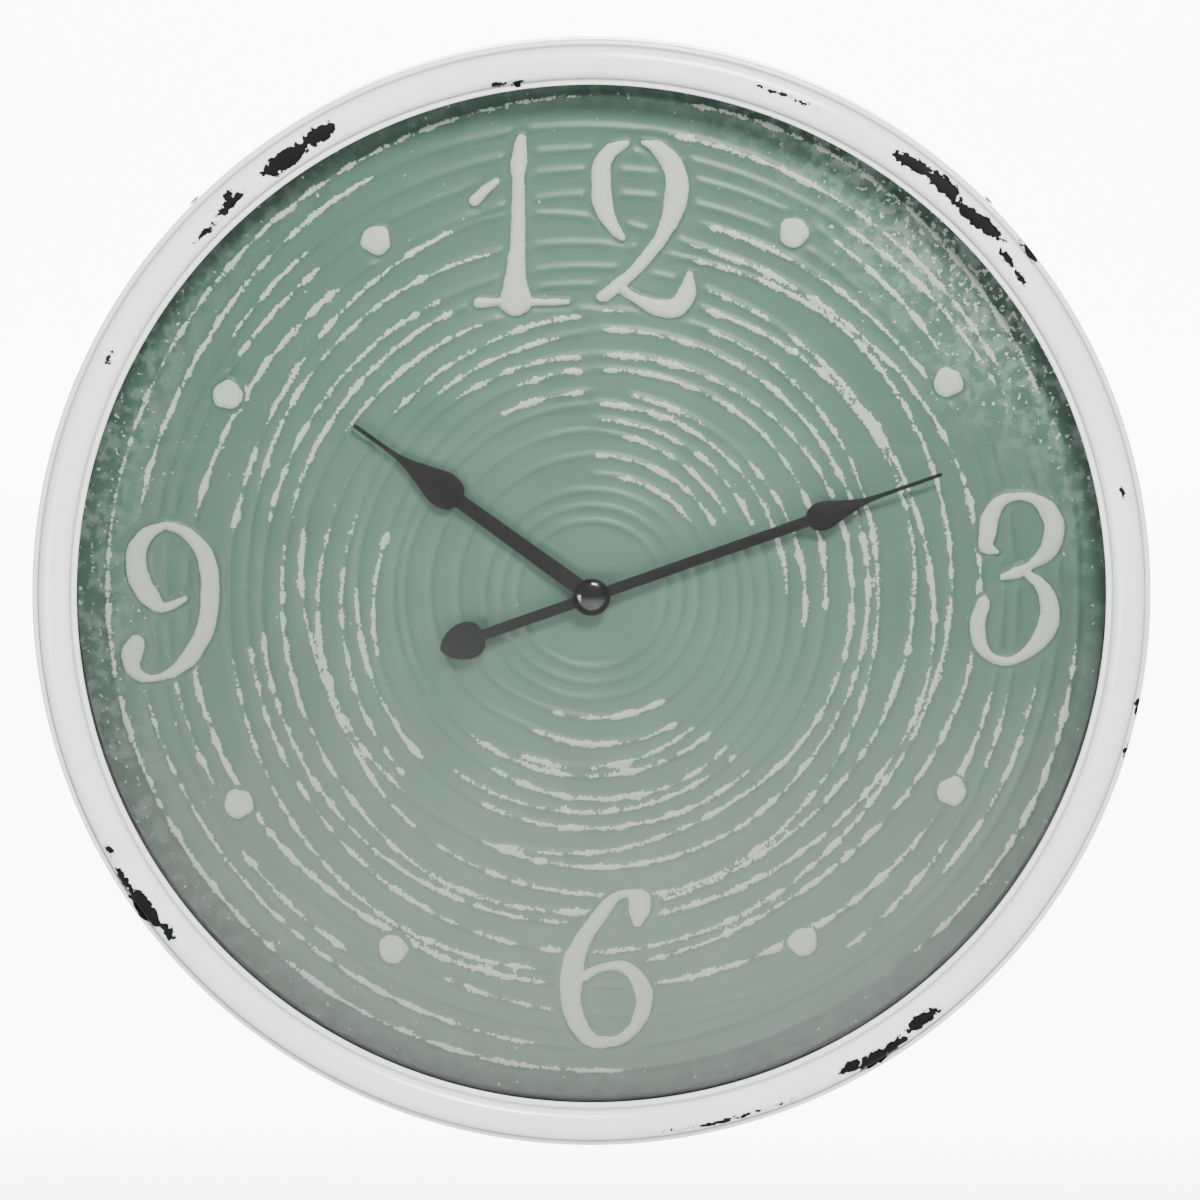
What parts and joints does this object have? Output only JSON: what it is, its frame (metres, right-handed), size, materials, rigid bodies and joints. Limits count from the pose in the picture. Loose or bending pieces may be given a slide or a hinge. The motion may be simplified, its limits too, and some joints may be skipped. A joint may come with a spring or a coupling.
{
  "type": "wall clock",
  "caption": "Large round wall clock: distressed enamel rim, flat glass, embossed metal dial with raised numerals, spade hands and a battery movement.",
  "frame": {"origin": "centre of the bounding box, on the axis of the hands", "axes": "+Z towards twelve o'clock, -Y out of the dial, +Y towards the wall, +X towards three o'clock"},
  "size_m": [0.6, 0.055, 0.6],
  "materials": {
    "white_enamel": "distressed gloss enamel with dark chips",
    "black_coat": "satin black coating",
    "zinc_screw": "zinc plated",
    "gasket_rubber": "matte",
    "clear_glass": "polished float glass",
    "spacer_board": "matte",
    "green_dial": "embossed, green with cream rubbed crests",
    "galvanised": "galvanised",
    "rivet_steel": "plain",
    "bumper_rubber": "matte",
    "brass_fittings": "turned",
    "movement_plastic": "fine moulded texture",
    "acetal": "moulded",
    "soft_iron": "annealed",
    "enamelled_copper": "enamelled wire",
    "circuit_board": "solder mask",
    "nickel_contact": "nickel plated",
    "charcoal_paint": "satin",
    "cap_enamel": "gloss black",
    "rotor_ferrite": "sintered",
    "cell_jacket": "printed jacket, left plain"
  },
  "bodies": {
    "case": {"front_bezel": "white_enamel", "case_band": "black_coat", "dial_ledge": "black_coat", "rear_flange": "black_coat", "case_screw_1": "zinc_screw", "case_screw_2": "zinc_screw", "case_screw_3": "zinc_screw", "case_screw_4": "zinc_screw", "glass_gasket": "gasket_rubber", "glass_lens": "clear_glass", "glass_spacer": "spacer_board", "dial_plate": "green_dial", "hanger_plate": "galvanised", "hanger_rivet_1": "rivet_steel", "hanger_rivet_2": "rivet_steel", "wall_bumper_1": "bumper_rubber", "wall_bumper_2": "bumper_rubber", "threaded_bush": "brass_fittings", "hex_nut": "brass_fittings", "brass_washer": "brass_fittings", "rubber_washer": "bumper_rubber", "movement_housing": "movement_plastic", "movement_cover": "movement_plastic", "movement_screw_1": "rivet_steel", "movement_screw_2": "rivet_steel", "train_plate": "acetal", "stator": "soft_iron", "coil_core": "soft_iron", "coil_winding": "enamelled_copper", "circuit_board": "circuit_board", "timing_chip": "movement_plastic", "crystal_can": "rivet_steel", "positive_contact": "nickel_contact", "negative_contact": "nickel_contact"},
    "minute": {"minute_hand": "charcoal_paint", "minute_arbor": "rivet_steel", "hub_cap": "cap_enamel"},
    "hour": {"hour_hand": "charcoal_paint", "hour_wheel": "acetal"},
    "motion": {"motion_wheel": "acetal"},
    "setting": {"set_stem": "acetal"},
    "centre": {"centre_wheel": "brass_fittings"},
    "third": {"third_wheel": "acetal"},
    "seconds": {"seconds_wheel": "acetal"},
    "intermediate": {"intermediate_wheel": "acetal"},
    "rotor": {"rotor": "rotor_ferrite"},
    "battery": {"battery_cell": "cell_jacket"}
  },
  "joints": [
    {"name": "minute_turn", "type": "hinge", "parent": "case", "child": "minute", "pos_m": [0, -0.0067, 0], "axis": [0, 1, 0], "continuous": true},
    {"name": "hour_turn", "type": "hinge", "parent": "case", "child": "hour", "pos_m": [0, -0.0033, 0], "axis": [0, 1, 0], "continuous": true},
    {"name": "motion_turn", "type": "hinge", "parent": "case", "child": "motion", "pos_m": [-0.0114, 0.0085, 0], "axis": [0, 1, 0], "continuous": true},
    {"name": "setting_turn", "type": "hinge", "parent": "case", "child": "setting", "pos_m": [-0.02127, 0.0224, 0.0057], "axis": [0, 1, 0], "continuous": true},
    {"name": "rotor_turn", "type": "hinge", "parent": "case", "child": "rotor", "pos_m": [0.01504, 0.0155, 0.00392], "axis": [0, 1, 0], "continuous": true},
    {"name": "intermediate_turn", "type": "hinge", "parent": "case", "child": "intermediate", "pos_m": [0.00827, 0.014, 0.00146], "axis": [0, 1, 0], "continuous": true},
    {"name": "seconds_turn", "type": "hinge", "parent": "case", "child": "seconds", "pos_m": [0, 0.013, 0], "axis": [0, 1, 0], "continuous": true},
    {"name": "third_turn", "type": "hinge", "parent": "case", "child": "third", "pos_m": [-0.00369, 0.0119, 0.01015], "axis": [0, 1, 0], "continuous": true},
    {"name": "centre_turn", "type": "hinge", "parent": "case", "child": "centre", "pos_m": [0, 0.01, 0], "axis": [0, 1, 0], "continuous": true},
    {"name": "battery_lift", "type": "slide", "parent": "case", "child": "battery", "axis": [0, 1, 0], "range_m": [0, 0.02]}
  ],
  "couplings": [
    {"joint": "hour_turn", "follows": "minute_turn", "ratio": 0.083333},
    {"joint": "motion_turn", "follows": "minute_turn", "ratio": -0.33333},
    {"joint": "setting_turn", "follows": "minute_turn", "ratio": 1},
    {"joint": "intermediate_turn", "follows": "rotor_turn", "ratio": -0.2},
    {"joint": "seconds_turn", "follows": "rotor_turn", "ratio": 0.033333},
    {"joint": "third_turn", "follows": "rotor_turn", "ratio": -0.0044444},
    {"joint": "centre_turn", "follows": "rotor_turn", "ratio": 0.00055556}
  ]
}
